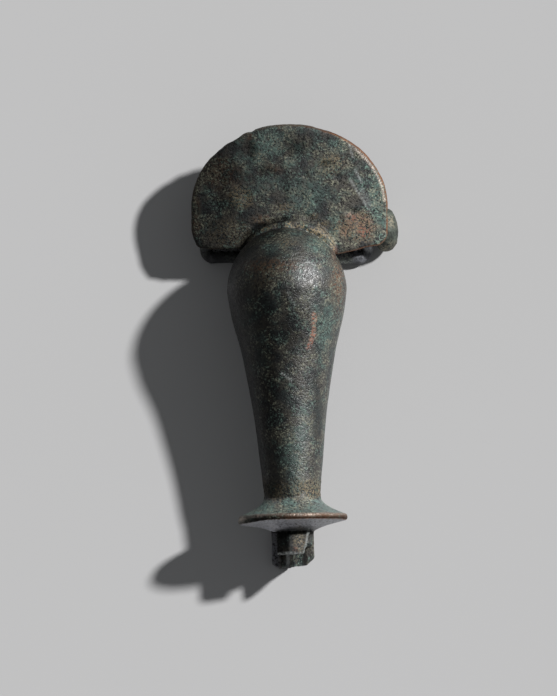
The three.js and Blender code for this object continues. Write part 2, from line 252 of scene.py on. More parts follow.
# Hollows in the plate: place, reach across and along, depth.
HOLLOWS = [
    (3.3, 7.5, 0.55, 0.35, 0.13), (4.3, 6.5, 0.4, 0.3, 0.1), (-0.5, 2.6, 0.4, 0.25, 0.1),
    (-3.9, 4.6, 0.45, 0.5, 0.1), (5.6, 3.3, 0.6, 0.35, 0.1), (1.6, 2.9, 0.5, 0.3, 0.08),
    (-2.9, 2, 0.7, 0.25, 0.1),
]
# Ragged lines: x and y of both ends, half width, strength.
RED_STREAKS = [(2.2, -6, 2.15, -7.7, 0.2, 0.95), (2.15, -7.7, 1.7, -8.9, 0.22, 0.95)]
# Pale lines: the glinting lines on the plate's right and the arc on the dome's top are painted highlights;
# the rest are scratches.
SCRATCHES_AND_HIGHLIGHTS = [
    (5.4, 9.3, 5.7, 8.2, 0.08, 0.6), (5.9, 7.1, 6.5, 5.9, 0.08, 0.8), (5.5, 6.1, 6.9, 3.9, 0.1, 0.6),
    (6.6, 5.2, 7.2, 3.6, 0.3, 0.3), (-0.1, -27.7, -0.1, -28.5, 0.16, 0.8),
    (-0.9, -28.1, -0.4, -28.2, 0.1, 0.5), (-0.7, -11.2, 0.2, -11.9, 0.06, 0.8),
    (-0.2, -4, 0.5, -5.2, 0.06, 0.3), (1, -1.6, 1.6, -1.3, 0.05, 0.6),
    (1.6, -1.3, 2.3, -1.65, 0.05, 0.7),
]
# Across the plate in millimetres, and how light it is there: painted shade on the left, painted light on
# the right, where the lamp falls.
PLATE_LIGHT_AND_SHADE = ([-9, -6, -2.5, 0, 4, 6, 8], [0.27, 0.34, 0.62, 0.78, 1.22, 1.72, 2])
# Around the bow from its left side over its top to its right side, in radians, and how light: painted
# shade on the left, painted light on the right.
BOW_LIGHT_AND_SHADE = ([-1.6, -0.9, -0.35, 0, 0.3, 0.8, 1.6], [0.3, 0.2, 0.34, 0.62, 0.9, 1.08, 1.05])
# Across the spring in millimetres: painted shade on its left side, which lies in the dark, and painted
# light on its right, where the lamp reaches it past the plate.
SPRING_LIGHT_AND_SHADE = ([-9, 0, 3, 6.5, 9], [0.6, 0.8, 3.8, 3.4, 1.3])
# Along the disc's rim from -1 on the left to 1 on the right.
RIM_COPPER = ([-1, -0.85, -0.78, -0.3, 0, 1], [0.2, 0.15, 0.1, 0.25, 0.85, 0.9])
# Painted highlight on the rim's front half.
RIM_HIGHLIGHT = (
    [-1, -0.85, -0.78, 0, 0.25, 0.4, 0.6, 0.75, 1],
    [0.3, 0.3, 0, 0.03, 0.45, 0.6, 0.08, 0.15, 0.12],
)
# Painted highlight line along the rim's edge next to the flare.
RIM_HIGHLIGHT_LINE = ([-1, -0.8, -0.2, 0.1, 1], [0.1, 0.2, 0.3, 0.5, 0.5])
RIM_TONE = ([-1, -0.87, -0.8, -0.3, 0.05, 1], [1.6, 1.4, 0.3, 0.4, 0.85, 0.95])
# Across the flare in the same shares of the disc's radius: painted light, most on its left side, which
# lies in shade.
FLARE_PAINTED_LIGHT = ([-1, -0.4, 0, 0.5, 1], [3.2, 2.4, 2, 2.3, 2.5])
# Across the brooch in millimetres: ochre at the neck, and bare copper along the plate's edge.
NECK_OCHRE = ([-2, 0, 1, 2], [0.6, 0.45, 0.75, 0.8])
EDGE_COPPER = ([-9, -4, 1, 4], [0.35, 0.15, 0.5, 1.0])
# By how much the tone of a stretch falls (dark) or rises (light), as a share of it.
PATCH_DARK = 0.65
RING_LIGHT = 0.5
TEAL_LIGHT = 0.35
STREAK_LIGHT = 0.9
# Painted shade: the rim's back half, the crease around the ring, the disc's shadow and the tongue's left
# facet.
RIM_BACK_SHADE = 0.5
CREASE_SHADE = 0.65
SHADE_DARK = 0.85
LEFT_FACET_SHADE = 0.5
# Painted light on the catch's low faces and on the foot's left wall, which lie in shade.
LOW_CATCH_PAINTED_LIGHT = 8.0
LEFT_WALL_PAINTED_LIGHT = 4.0
# Painted reflection of the floor on the disc's back.
BACK_REFLECTION = 3.9

bow_frame = (
    Matrix.Translation((KNEE_OFFSET, -KNEE_FROM_PLATE, KNEE_HEIGHT))
    @ Matrix.Rotation(BOW_LEAN, 4, "Z")
    @ Matrix.Rotation(-BOW_RISE, 4, "X")
)
plate_frame = Matrix.Rotation(PLATE_RISE, 4, "X")


def moved(points, matrix):
    """Points as rows, moved by a 4x4 matrix."""
    matrix = np.array(matrix)
    return np.asarray(points, float) @ matrix[:3, :3].T + matrix[:3, 3]


def unit(rows):
    """Each row at length 1."""
    return rows / np.linalg.norm(rows, axis=1)[:, None]


def smoothstep(low, high, value):
    t = np.clip((value - low) / (high - low), 0.0, 1.0)
    return t * t * (3.0 - 2.0 * t)


def fade(value, place, limits):
    """Rises from 0 to 1 between two limits that are measured from a place."""
    return smoothstep(place + limits[0], place + limits[1], value)


def band(value, rise, fall):
    """1 between a rise and a fall and 0 outside them; each is a pair of limits."""
    return smoothstep(*rise, value) * (1 - smoothstep(*fall, value))


# Noise


# Large numbers that scatter the cells, and the bits of them that are kept.
CELL_FACTORS = np.array([73856093, 19349663, 83492791])
SEED_FACTOR = 2654435761
MIXING = ((13, 1274126177), (16, 668265263))
KEPT_BITS = 0x7FFFFFFF
USED_BITS = 0xFFFFFF


def lattice_random(cells, seed):
    """A fixed random number from 0 to 1 for each whole-number cell."""
    x, y, z = (cells * CELL_FACTORS).T
    mixed = x ^ y ^ z ^ seed * SEED_FACTOR
    for shift, factor in MIXING:
        mixed = (mixed ^ (mixed >> shift)) * factor & KEPT_BITS
    return (mixed & USED_BITS) / USED_BITS


def value_noise(points, size, seed):
    """Smooth noise from -1 to 1 with features of about the given size."""
    scaled = points / size
    cell = np.floor(scaled).astype(np.int64)
    part = scaled - cell
    part = part * part * (3.0 - 2.0 * part)
    total = np.zeros(len(points))
    for corner in np.ndindex(2, 2, 2):
        step = np.array(corner)
        weight = np.prod(np.where(step == 1, part, 1.0 - part), axis=1)
        total += weight * lattice_random(cell + step, seed)
    return 2.0 * total - 1.0


def fractal_noise(points, size, seed, octaves=3):
    """Noise from -1 to 1 with finer, weaker noise on it. The seed tells one noise from another."""
    total = np.zeros(len(points))
    reach = 0.0
    for octave in range(octaves):
        weight = 0.5**octave
        total += weight * value_noise(points, size / 2**octave, seed + octave)
        reach += weight
    return total / reach


def pits(points, size, seed, share):
    """Round pits, 1 at their middle and 0 outside, in that share of the cells of a loose grid."""
    cell = np.floor(points / size).astype(np.int64)
    deepest = np.zeros(len(points))
    for offset in np.ndindex(3, 3, 3):
        near = cell + np.array(offset) - 1
        present = lattice_random(near, seed) < share
        place = np.stack([lattice_random(near, seed + k) for k in (1, 2, 3)], axis=1)
        radius = size * (LEAST_PIT + PIT_SPREAD * lattice_random(near, seed + 4))
        distance = np.linalg.norm(points - (near + place) * size, axis=1)
        deepest = np.maximum(deepest, present * (1.0 - smoothstep(0.0, 1.0, distance / radius)))
    return deepest


# Closed shells that are fused into the casting


class Shells:
    """Closed shells of vertices and faces, added by the functions that are handed over."""

    def __init__(self, *parts):
        self.points = []
        self.faces = []
        for add_part in parts:
            add_part(self)

    def add(self, loops, closed=False):
        """Loops of equal length, one after the other; a face ends them unless they meet again."""
        start = sum(len(points) for points in self.points)
        count = len(loops[0])
        last = start + (len(loops) - 1) * count
        for ring in range(len(loops) - 1 + closed):
            low = start + ring * count
            high = start + (ring + 1) % len(loops) * count
            for i in range(count):
                j = (i + 1) % count
                self.faces.append((low + i, low + j, high + j, high + i))
        if not closed:
            self.faces.append(tuple(start + i for i in reversed(range(count))))
            self.faces.append(tuple(last + i for i in range(count)))
        self.points.append(np.concatenate(loops))

    def mesh(self, name):
        mesh = bpy.data.meshes.new(name)
        mesh.from_pydata(np.concatenate(self.points).tolist(), [], self.faces)
        mesh.validate()
        return mesh


def circle(sides):
    """Points around a circle of radius 1."""
    turn = np.linspace(0, 2 * math.pi, sides, endpoint=False)
    return np.stack([np.cos(turn), np.sin(turn)], axis=1)


def arc(centre, radii, start, end, steps):
    """Points along part of an ellipse, from one angle to another."""
    angles = np.linspace(start, end, steps + 1)
    return np.stack([centre[0] + radii[0] * np.cos(angles), centre[1] + radii[1] * np.sin(angles)], axis=1)


def catmull_rom(points, steps):
    """Points along a uniform Catmull-Rom curve, as many between each pair of its points."""
    points = np.asarray(points, float)
    padded = np.concatenate([points[:1], points, points[-1:]])
    path = []
    for i in range(len(points) - 1):
        a, b, c, d = padded[i : i + 4]
        for t in np.linspace(0, 1, steps, endpoint=False):
            bend = -a + 3 * b - 3 * c + d
            pull = 2 * a - 5 * b + 4 * c - d
            path.append(0.5 * (2 * b + (c - a) * t + pull * t**2 + bend * t**3))
    return np.array(path + [points[-1]])


def bezier(a, b, c, steps):
    """Points along a curve from a to c that bends towards b."""
    t = np.linspace(0, 1, steps + 1)[:, None]
    a, b, c = (np.array(p, float) for p in (a, b, c))
    return (1 - t) ** 2 * a + 2 * t * (1 - t) * b + t**2 * c


# Small losses along the plate's edge: place, reach and depth. Each fades out over that part of its
# reach.
CHIP_FADE = (0.3, 1.0)
PLATE_CHIPS = [
    ((-4.9, 9.8), 1.1, 0.1), ((-3.4, 10.6), 0.4, 0.13), ((-6.4, 8.7), 1.0, 0.09),
    ((-8.5, 0.9), 0.8, 0.14), ((-7.6, 0.1), 0.5, 0.1), ((8.6, 3.2), 0.6, 0.05),
    ((2.6, 10.9), 0.8, 0.05),
]


def plate_outline():
    half = PLATE_WIDTH / 2
    corner = PLATE_CORNER
    right = (half - corner, PLATE_RIGHT_CLIMB + corner)
    points = np.concatenate(
        [
            arc((0, PLATE_BAND), (half, PLATE_ARCH), 0, math.pi, steps=180),
            arc((-half + corner, corner), (corner, corner), math.pi, 1.5 * math.pi, steps=16),
            [[0, 0], [PLATE_DROP_REACH, -PLATE_DROP]],
            arc(right, (corner, corner), 1.5 * math.pi, 2 * math.pi, steps=16),
        ]
    )
    return evenly_spaced(points, OUTLINE_SPACING, closed=True)


def evenly_spaced(path, spacing, closed):
    """The same outline or route with evenly spaced points."""
    if closed:
        path = np.concatenate([path, path[:1]])
    run = np.concatenate([[0], np.cumsum(np.linalg.norm(np.diff(path, axis=0), axis=1))])
    places = np.linspace(0, run[-1], int(run[-1] / spacing), endpoint=not closed)
    return np.stack([np.interp(places, run, column) for column in path.T], axis=1)


def outward(loop):
    """The outward direction at each point of a closed outline."""
    along = unit(np.roll(loop, -1, axis=0) - np.roll(loop, 1, axis=0))
    return np.stack([along[:, 1], -along[:, 0]], axis=1)


def add_plate(shells):
    """The bevelled head plate with its worn edge."""
    outline = plate_outline()
    normal = outward(outline)
    flat = np.column_stack([outline, np.zeros(len(outline))])
    wobble = EDGE_WAVE * fractal_noise(flat, EDGE_WAVE_SIZE, 11)
    loss = np.zeros(len(outline))
    for place, reach, depth in PLATE_CHIPS:
        away = np.linalg.norm(outline - np.array(place), axis=1)
        loss += depth * (1 - smoothstep(*CHIP_FADE, away / reach))
    outline = outline + normal * (wobble - loss)[:, None]
    loops = []
    for step in range(BEVEL_STEPS + 1):
        angle = math.pi / 2 * step / BEVEL_STEPS
        inset = PLATE_BEVEL * (1 - math.sin(angle))
        height = PLATE_BEVEL * (1 - math.cos(angle))
        loops.append(np.column_stack([outline - normal * inset, np.full(len(outline), height)]))
    upper = [loop * [1, 1, -1] + [0, 0, PLATE_THICKNESS] for loop in reversed(loops)]
    shells.add([moved(loop, plate_frame) for loop in loops + upper])


def add_collar(shells):
    """The mound from which the bow rises."""
    rings = []
    for tilt in np.linspace(POLE_GAP, math.pi - POLE_GAP, num=28):
        level = np.full(ROUND_SIDES, -math.cos(tilt))
        ring = np.column_stack([math.sin(tilt) * circle(ROUND_SIDES), level])
        ring = ring * COLLAR_SIZE + [COLLAR_OFFSET, 0, PLATE_THICKNESS / 2]
        ring[:, 2] = np.maximum(ring[:, 2], PLATE_THICKNESS / 2)
        rings.append(moved(ring, plate_frame))
    shells.add(rings)


def add_collar_ring(shells):
    """The rounded ring of metal around the foot of the dome."""
    half_x, half_y, radius = COLLAR_RING
    path = arc((0, 0), (half_x, half_y), 0, 2 * math.pi, steps=96)[:-1]
    round_x, round_y = circle(sides=16).T
    across = radius * round_x
    up = PLATE_THICKNESS + radius * (RING_RISE + round_y)
    loops = []
    for (x, y), (out_x, out_y) in zip(path, outward(path)):
        loop = np.stack([COLLAR_OFFSET + x + out_x * across, y + out_y * across, up], axis=1)
        loops.append(moved(loop, plate_frame))
    shells.add(loops, closed=True)


def bow_profile():
    """Radius and distance along the bow, from the domed end to the boss behind the disc."""
    angles = np.linspace(POLE_GAP, math.pi / 2, num=40, endpoint=False)
    dome = np.stack([KNEE_RADIUS * np.sin(angles), -KNEE_DOME * np.cos(angles)], axis=1)
    swell = [(NECK_RADIUS + s * (KNEE_RADIUS - NECK_RADIUS), way * KNEE_TO_NECK) for way, s in BOW_SWELL]
    inset, round_length = RIM_ROUND
    flare = bezier(
        (NECK_RADIUS, FLARE_START),
        (NECK_RADIUS + FLARE_BEND * (DISC_RADIUS - NECK_RADIUS), (FLARE_START + RIM_START) / 2),
        (DISC_RADIUS - inset, RIM_START),
        steps=18,
    )
    rim_places = (RIM_START + round_length, (RIM_START + RIM_END) / 2, RIM_END - round_length)
    rim = [(DISC_RADIUS, place) for place in rim_places]
    back = bezier(
        (DISC_RADIUS - inset, RIM_END),
        (DISC_BOSS + BACK_BEND * (DISC_RADIUS - DISC_BOSS), (RIM_END + DISC_END) / 2),
        (DISC_BOSS, DISC_END),
        steps=18,
    )
    return np.concatenate([dome, catmull_rom(swell, steps=24), flare, rim, back])


def across_bow(outline, along):
    """A section drawn across the bow (right, up) at a distance along it."""
    right, up = np.transpose(outline)
    return moved(np.column_stack([right, np.zeros(len(right)) - along, up]), bow_frame)


def add_bow(shells):
    """The turned bow with its flat underside, and the disc."""
    rings = []
    for radius, along in bow_profile():
        ring = radius * circle(sides=160)
        if along < KNEE_TO_NECK + NECK_LENGTH / 2:
            ring[:, 1] = np.maximum(ring[:, 1], -BOW_BACK)
        rings.append(across_bow(ring, along))
    shells.add(rings)


def add_stem(shells):
    """The thick start of the foot."""
    left, right = STEM_OFFSET - STEM_HALF_WIDTH, STEM_OFFSET + STEM_HALF_WIDTH
    outline = [
        (left, -STEM_BOTTOM / 2),
        (STEM_OFFSET + STEM_HALF_WIDTH / 2, -STEM_BOTTOM),
        (right, -STEM_BOTTOM),
        (right, STEM_TOP),
        (left, STEM_TOP),
    ]
    shells.add([across_bow(outline, s) for s in (FOOT_START, FOOT_START + STEM_LENGTH)])


def add_tongue(shells):
    """The roof-shaped upper side of the foot, whose right side draws in towards its end."""
    half = TONGUE_WIDTH / 2
    eaves = STEM_TOP - TONGUE_THICKNESS / 2
    outline = np.array(
        [
            (-half, eaves),
            (half, eaves),
            (half, eaves + TONGUE_THICKNESS / 2),
            (TONGUE_RIDGE_OFFSET, eaves + TONGUE_THICKNESS + TONGUE_RIDGE_RISE / 2),
            (-half, eaves + TONGUE_THICKNESS / 2),
        ]
    )
    loops = []
    for way in (0, 1):
        narrowing = 1 + (TONGUE_END_WIDTH / TONGUE_WIDTH - 1) * way
        section = np.column_stack([-half + (outline[:, 0] + half) * narrowing, outline[:, 1]])
        loops.append(across_bow(section, FOOT_START + way * TONGUE_LENGTH))
    shells.add(loops)


def catch_line():
    """The middle line of the catch across the bow: down from the top, around the curl and up."""
    bend = np.array([CATCH_TOP_REACH, -CATCH_BEND_DROP])
    centre = np.array([-CATCH_LIP_REACH, -(CATCH_DROP - CATCH_THICKNESS / 2 - CATCH_CURL)])
    to_bend = bend - centre
    touch = math.atan2(to_bend[1], to_bend[0]) - math.acos(CATCH_CURL / np.linalg.norm(to_bend))
    curl = arc(centre, (CATCH_CURL, CATCH_CURL), touch, -math.pi, steps=14)
    top = [[CATCH_TOP_REACH, -CATCH_TOP_DROP]]
    lip = [curl[-1] + [0, CATCH_LIP_HEIGHT]]
    return np.concatenate([top, [bend], curl, lip])


def add_catch(shells):
    """The catch under the foot, with its chipped lower right corner."""
    line = catch_line()
    ahead = np.concatenate([line[1:], line[-1:]])
    behind = np.concatenate([line[:1], line[:-1]])
    along = unit(ahead - behind)
    side = np.stack([-along[:, 1], along[:, 0]], axis=1) * CATCH_THICKNESS / 2
    outline = np.concatenate([line + side, (line - side)[::-1]])
    right = CATCH_TOP_REACH + CATCH_THICKNESS / 2
    chipped = FOOT_END - np.clip(outline[:, 0] - (right - CATCH_CHIP), 0, None)
    shells.add([across_bow(outline, FOOT_START), across_bow(outline, chipped)])


def add_lug(shells):
    """The pierced lug under the plate: a hole in a form that is round below and square above."""
    hole = ROD_RADIUS + CLEARANCE
    radius = hole + LUG_WALL
    ring = circle(ROUND_SIDES)
    top = AXIS_DEPTH + PLATE_THICKNESS / 2
    outer = radius * ring
    upper = ring[:, 1] > 0
    square = ring / np.maximum(np.abs(ring[:, :1]), np.abs(ring[:, 1:]) * radius / top)
    outer[upper] = radius * square[upper]
    loops = []
    for side, loop in ((-1, hole * ring), (-1, outer), (1, outer), (1, hole * ring)):
        x = np.full(ROUND_SIDES, KNEE_OFFSET + side * LUG_WIDTH / 2)
        loops.append(np.column_stack([x, AXIS_FROM_EDGE + loop[:, 0], loop[:, 1] - AXIS_DEPTH]))
    shells.add(loops, closed=True)


def resting_turn():
    """The turn about X that sets the coils and the end of the catch on one level."""
    heel = bow_frame @ Vector((0, -FOOT_END, -CATCH_DROP))
    along = AXIS_FROM_EDGE - heel.y
    rise = heel.z + AXIS_DEPTH
    return math.asin(COIL_OUTER / math.hypot(along, rise)) + math.atan2(rise, along)


# Meshes


def placed(name, data):
    """A new object in the scene."""
    piece = bpy.data.objects.new(name, data)
    scene.collection.objects.link(piece)
    return piece


def vertex_rows(vertices, name):
    """Three numbers for each vertex, as rows."""
    rows = np.empty(len(vertices) * 3)
    vertices.foreach_get(name, rows)
    return rows.reshape(-1, 3)


def set_points(mesh, points):
    mesh.vertices.foreach_set("co", points.ravel())
    mesh.update()


def fused(name, mesh, voxel, smoothing):
    """One skin around the shells of a mesh, from a fine voxel remesh, with its steps smoothed."""
    source = placed(name, mesh)
    remesh = source.modifiers.new("skin", "REMESH")
    remesh.mode = "VOXEL"
    remesh.voxel_size = voxel
    smooth = source.modifiers.new("smooth", "SMOOTH")
    smooth.factor = 0.5
    smooth.iterations = smoothing
    graph = bpy.context.evaluated_depsgraph_get()
    result = bpy.data.meshes.new_from_object(source.evaluated_get(graph))
    source.modifiers.clear()
    source.data = result
    for polygon in result.polygons:
        polygon.use_smooth = True
    return source


def attribute(mesh, name, values):
    """A mask that the material reads."""
    layer = mesh.attributes.new(name, "FLOAT", "POINT")
    layer.data.foreach_set("value", np.asarray(values, np.float32))


def row_distance(points, x, y, across, along):
    """Distance from a place, in shares of the reach across and along."""
    return np.hypot((points[:, 0] - x) / across, (points[:, 1] - y) / along)


def patches(points, rows, seed, edge=0.5):
    """Ragged patches seen from above; a row is place x and y, reach across and along, strength."""
    ragged = RAGGED * fractal_noise(points, PATCH_GRAIN, 100 + seed)
    clear = np.ones(len(points))
    for x, y, across, along, strength in rows:
        away = row_distance(points, x, y, across, along)
        clear *= 1 - strength * (1 - smoothstep(1 - edge, 1 + edge, away + ragged))
    return 1 - clear


def streaks(points, rows, seed):
    """Ragged lines; a row is x and y of both ends, half width, strength."""
    ragged = RAGGED * fractal_noise(points, STREAK_GRAIN, 200 + seed)
    clear = np.ones(len(points))
    for x0, y0, x1, y1, width, strength in rows:
        start = np.array([x0, y0])
        span = np.array([x1, y1]) - start
        along = np.clip(((points[:, :2] - start) @ span) / (span @ span), 0, 1)
        away = np.linalg.norm(points[:, :2] - start - along[:, None] * span, axis=1)
        clear *= 1 - strength * (1 - smoothstep(*STREAK_EDGE, away / width + ragged))
    return 1 - clear


def any_of(*masks):
    return 1 - np.prod([1 - mask for mask in masks], axis=0)


def outline_distance(points, outline):
    """Distance from the plate's outline, seen square to the plate; large away from its edge."""
    distance = np.full(len(points), FAR)
    near = np.flatnonzero(np.abs(points[:, 2] - PLATE_THICKNESS / 2) < PLATE_THICKNESS)
    for part in np.array_split(near, BATCHES):
        gap = points[part, None, :2] - outline[None, :, :]
        distance[part] = np.sqrt((gap**2).sum(2)).min(1)
    return distance


def casting_regions(points):
    """Where each stretch of the casting is, as masks, from places in the bow's and plate's frames."""
    local = moved(points, bow_frame.inverted())
    across, along, up = local[:, 0], -local[:, 1], local[:, 2]
    radius = np.hypot(across, up)
    on_plate = moved(points, plate_frame.inverted())
    plate_y, plate_z = on_plate[:, 1], on_plate[:, 2]
    dome = np.sqrt((radius / KNEE_RADIUS) ** 2 + (np.minimum(along, 0) / KNEE_DOME) ** 2)
    outside = 1 - (dome < DOME_SKIN) * (along < DOME_REACH)
    half_x, half_y = COLLAR_RING[:2]
    oval = np.hypot((on_plate[:, 0] - COLLAR_OFFSET) / half_x, plate_y / half_y)
    ring = band(oval, *RING_BAND) * outside * (plate_y > RING_FRONT) * (plate_z > PLATE_TOP)
    # Painted shade in the crease inside the ring, and the ring's painted shadow on the plate outside it.
    shade_bands = any_of(
        band(oval, *RING_SHADOW_BAND) * smoothstep(*RING_SHADOW_FADE, points[:, 0]), band(oval, *INNER_CREASE_BAND)
    )
    plate = (plate_y > PLATE_FRONT) * (plate_z < PLATE_THICKNESS + MARGIN) * outside
    # The back's outline is hollow, so it stays inside the straight line from the rim to the boss.
    back_limit = np.interp(along, [RIM_END, DISC_END], [DISC_RADIUS, DISC_BOSS])
    back = (along > RIM_END) * (along < DISC_END + 0.1)
    on_rim = (along > RIM_START - 0.12) * (along < RIM_END + 0.16)
    return SimpleNamespace(
        across=across,
        along=along,
        up=up,
        around=np.arctan2(across, up),
        radius=radius,
        height=plate_z,
        edge=outline_distance(on_plate, plate_outline()),
        plate=plate * (plate_z > -MARGIN),
        bow=(along < FLARE_START) * (1 - plate) * (1 - ring),
        ring=ring,
        crease_and_ring_shade=shade_bands * outside * (plate_y > PLATE_FRONT) * (plate_z > PLATE_TOP),
        flare=fade(along, FLARE_START, (-0.1, 0.4)) * (along < RIM_START),
        rim=fade(radius, DISC_RADIUS, (-0.22, -0.1)) * on_rim,
        rim_back=fade(along, RIM_START, (0.15, 0.3)),
        back=back * (radius > BACK_FROM * DISC_BOSS) * (radius < back_limit + MARGIN),
        foot=fade(along, DISC_END, (-0.1, 0.1)),
    )


def hollows(points):
    """How deep the plate's hollows are at each point."""
    depth = np.zeros(len(points))
    ragged = HOLLOW_RAGGED * fractal_noise(points, HOLLOW_GRAIN, 131, 2)
    for x, y, across, along, deep in HOLLOWS:
        away = row_distance(points, x, y, across, along)
        depth += deep * (1 - smoothstep(*HOLLOW_EDGE, away + ragged))
    return depth


def weathered(points, normals, region):
    """The casting's surface with its casting waves, crust, pits and dents."""
    smooth = region.bow * (1 - smoothstep(*SMOOTH_BOW_END, region.along))
    rough = 1 - 0.6 * any_of(smooth, region.flare, region.rim, region.back)
    waves = WAVE * fractal_noise(points, WAVE_SIZE, 21, 2) * (0.5 + 0.8 * region.plate)
    grain = GRAIN * fractal_noise(points, GRAIN_SIZE, 31, 2)
    crust = CRUST * np.clip(fractal_noise(points, CRUST_SIZE, 41), 0, 1)
    crust = crust * (0.4 + region.ring * 1.6 + 0.5 * region.foot)
    small = PIT * pits(points, PIT_SIZE, 51, share=0.5)
    large = LARGE_PIT * pits(points, LARGE_PIT_SIZE, 61, share=0.3) * (0.3 + 0.7 * region.plate)
    neck_grain = np.clip(fractal_noise(points, NECK_CRUST_SIZE, 71, 2) + 0.2, 0, 1)
    neck_crust = NECK_CRUST * band(region.along, *NECK_RELIEF) * neck_grain
    height = waves + rough * (grain + crust - small) - large * rough + neck_crust
    height += SMOOTHING_LOSS
    height -= hollows(points) * region.plate
    worn = points + normals * height[:, None]
    top = region.plate * smoothstep(0.3, 0.9, region.height)
    worn[:, 2] -= PLATE_CAMBER * top * (points[:, 0] / (PLATE_WIDTH / 2)) ** 2
    left = smoothstep(-2.0, -4.6, region.across) * (region.along > RIM_START)
    worn[:, 1] -= DISC_LEAN * left * any_of(region.rim, region.back)
    corner = smoothstep(-1.2, -2.0, region.across) * fade(region.along, FOOT_END, (-0.7, 0))
    worn[:, 1] += CORNER_LOSS * corner * region.foot
    return worn


def painted_light_shade_and_tone(points, normals, region):
    """How much lighter or darker than its plain colour each stretch is: painted light and shade from the
    lamp on the right, a painted reflection and shadow on the disc's back, and lighter and darker patina.
    """
    x = points[:, 0]
    across, along, up, foot = region.across, region.along, region.up, region.foot
    # Painted light and shade: lighter where the lamp on the right falls, darker on the left.
    tone = np.where(region.plate > 0.5, np.interp(x, *PLATE_LIGHT_AND_SHADE), np.interp(region.around, *BOW_LIGHT_AND_SHADE))
    tone = tone * (1 - PATCH_DARK * patches(points, DARK_PATCHES, 5, 0.7))
    tone = tone * (1 + RING_LIGHT * region.ring)
    disc_x = x / DISC_RADIUS
    # The flare is painted lighter, most on its left side, which lies in shade.
    tone = tone * (1 - region.flare) + region.flare * np.interp(disc_x, *FLARE_PAINTED_LIGHT)
    tone = tone * (1 + TEAL_LIGHT * patches(points, TEAL_PATCHES, 1))
    tone = tone * (1 + STREAK_LIGHT * streaks(points, RED_STREAKS, 3))
    # The rim's back half is darker with painted shade.
    rim_tone = np.interp(disc_x, *RIM_TONE) * (1 - RIM_BACK_SHADE * region.rim_back)
    tone = tone * (1 - region.rim) + region.rim * rim_tone
    # The disc's back gets a painted reflection of the floor.
    tone = tone * (1 - region.back) + region.back * BACK_REFLECTION
    # Painted shade in the crease inside the ring and the ring's painted shadow outside it.
    tone = tone * (1 - CREASE_SHADE * region.crease_and_ring_shade)
    # Painted light on the catch's low, upward faces and on the foot's left wall, which lie in shade.
    lit_low_catch = foot * (up < 0.6) * (along > FOOT_START + TONGUE_LENGTH - 0.1)
    lit_low_catch = lit_low_catch * smoothstep(1.0, 0.6, across) * smoothstep(0.2, 0.5, normals[:, 2])
    lit_left_wall = foot * smoothstep(*LEFT_WALL, across) * (up < 0.6)
    lit_left_wall = lit_left_wall * fade(along, FOOT_START, (0.1, 0.4))
    # Painted shadow of the disc on its back around the stem and on the start of the foot.
    from_stem = np.hypot(across - STEM_OFFSET, 0.8 * up)
    in_shade = region.back * (1 - smoothstep(1.7, 2.4, from_stem))
    shaded = any_of(in_shade, foot * (along < FOOT_START + 0.85)) * (1 - lit_left_wall)
    lit = np.maximum(LOW_CATCH_PAINTED_LIGHT * lit_low_catch * (1 - lit_left_wall), LEFT_WALL_PAINTED_LIGHT * lit_left_wall)
    # Painted shade on the tongue's left facet.
    shaded_left_facet = foot * (across < TONGUE_RIDGE_OFFSET) * (up > 0.5)
    return tone * (1 + lit) * (1 - SHADE_DARK * shaded) * (1 - LEFT_FACET_SHADE * shaded_left_facet)


def tongue_lip_reflection(region):
    """Painted reflection of the floor on the edge along the end and the right side of the tongue."""
    way = (region.along - FOOT_START) / TONGUE_LENGTH
    edge = -TONGUE_WIDTH / 2 + TONGUE_WIDTH + (TONGUE_END_WIDTH - TONGUE_WIDTH) * way
    on_tongue = (region.up > STEM_TOP - TONGUE_THICKNESS) * (way < 1.08) * (way > 0.1)
    end = smoothstep(0.92, 0.96, way)
    side = fade(region.across, edge, (-0.12, -0.04)) * (region.across < edge + 0.12)
    return on_tongue * any_of(end, side)


def violet_patina_and_reflection(region):
    """Smooth grey-violet patina with a painted reflection of the floor: the disc's back and the left walls
    of foot and bow.
    """
    wall = region.foot * smoothstep(*LEFT_WALL, region.across) * (region.up < 0.8)
    left_bow = 0.5 * region.bow * smoothstep(-0.9, -1.3, region.around)
    return any_of(region.back, wall, left_bow, 0.15 * region.flare)


